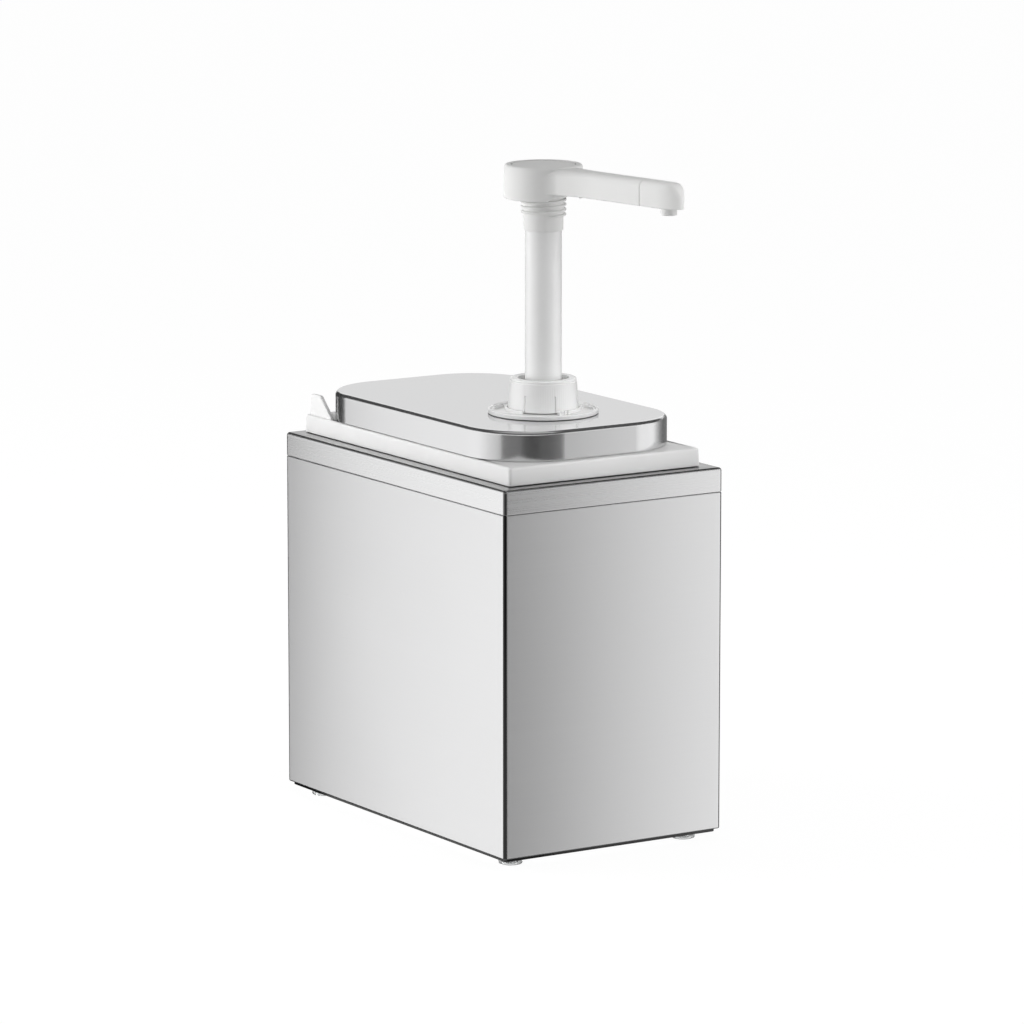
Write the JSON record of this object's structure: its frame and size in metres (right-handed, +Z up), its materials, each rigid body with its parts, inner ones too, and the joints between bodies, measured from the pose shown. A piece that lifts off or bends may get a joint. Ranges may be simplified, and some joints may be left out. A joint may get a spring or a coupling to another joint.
{
  "type": "sauce pump dispenser",
  "caption": "Countertop sauce dispenser: steel housing, lift-out plastic container, steel lid and a spring-return hand pump with a swivelling spout.",
  "frame": {"origin": "middle of the bounding box's underside, on the surface that the feet stand on", "axes": "+Z up along the pump; -Y is the front, where the spout points with its arm turned 8 degrees towards +X; X runs across the width"},
  "size_m": [0.162, 0.307, 0.4283],
  "materials": {
    "steel_brushed": "fine brushed grain, level on the band and on the walls",
    "steel_lid": "smooth drawn stainless steel, half gloss",
    "steel_hardware": "plain stainless steel",
    "foot_rubber": "pale grey translucent rubber",
    "container_plastic": "white moulded plastic, satin",
    "pump_plastic": "white moulded plastic, satin",
    "seal_rubber": "grey food-grade rubber"
  },
  "bodies": {
    "housing": {"housing_body": "steel_brushed", "housing_top_frame": "steel_brushed", "base_plate": "steel_brushed", "foot_front_left": "foot_rubber", "foot_front_right": "foot_rubber", "foot_rear_left": "foot_rubber", "foot_rear_right": "foot_rubber", "foot_screw_front_left": "steel_hardware", "foot_screw_front_right": "steel_hardware", "foot_screw_rear_left": "steel_hardware", "foot_screw_rear_right": "steel_hardware", "foot_nut_front_left": "steel_hardware", "foot_nut_front_right": "steel_hardware", "foot_nut_rear_left": "steel_hardware", "foot_nut_rear_right": "steel_hardware"},
    "container": {"container": "container_plastic"},
    "lid": {"lid": "steel_lid", "pump_flange": "pump_plastic", "lid_gasket": "seal_rubber", "flange_lock_ring": "pump_plastic", "cylinder_gasket": "seal_rubber", "pump_cylinder": "pump_plastic", "stem_guide": "pump_plastic", "stem_wiper": "seal_rubber", "foot_valve": "pump_plastic", "foot_valve_ring": "seal_rubber", "dip_tube": "pump_plastic", "return_spring": "steel_hardware"},
    "collar_nut": {"collar_nut": "pump_plastic"},
    "inlet_ball": {"inlet_ball": "steel_hardware"},
    "stem": {"stem_tube": "pump_plastic", "piston": "pump_plastic", "piston_ring": "seal_rubber", "ball_cage": "pump_plastic"},
    "outlet_ball": {"outlet_ball": "steel_hardware"},
    "head": {"lock_sleeve": "pump_plastic", "pump_head": "pump_plastic", "head_cap": "pump_plastic", "stem_o_ring": "seal_rubber"},
    "nozzle": {"nozzle_elbow": "pump_plastic", "outlet_tube": "pump_plastic", "nozzle_o_ring": "seal_rubber"}
  },
  "joints": [
    {"name": "container_lift", "type": "slide", "parent": "housing", "child": "container", "axis": [0, 0, 1], "range_m": [0, 0.21]},
    {"name": "lid_lift", "type": "slide", "parent": "container", "child": "lid", "axis": [0, 0, 1], "range_m": [0, 0.225]},
    {"name": "collar_turn", "type": "hinge", "parent": "lid", "child": "collar_nut", "pos_m": [0, -0.02947, 0.28], "axis": [0, 0, 1], "range_deg": [0, 360]},
    {"name": "inlet_ball_lift", "type": "slide", "parent": "lid", "child": "inlet_ball", "axis": [0, 0, 1], "range_m": [0, 0.0035]},
    {"name": "pump_stroke", "type": "slide", "parent": "lid", "child": "stem", "axis": [0, 0, -1], "range_m": [0, 0.1], "stiffness_N_per_m": 150, "springref_m": -0.1, "deforming": ["return_spring"]},
    {"name": "outlet_ball_lift", "type": "slide", "parent": "stem", "child": "outlet_ball", "axis": [0, 0, 1], "range_m": [0, 0.005]},
    {"name": "head_turn", "type": "hinge", "parent": "stem", "child": "head", "pos_m": [0, -0.02947, 0.4], "axis": [0, 0, 1], "continuous": true},
    {"name": "nozzle_pull", "type": "slide", "parent": "head", "child": "nozzle", "axis": [0.1392, -0.9903, 0], "range_m": [0, 0.02]}
  ]
}
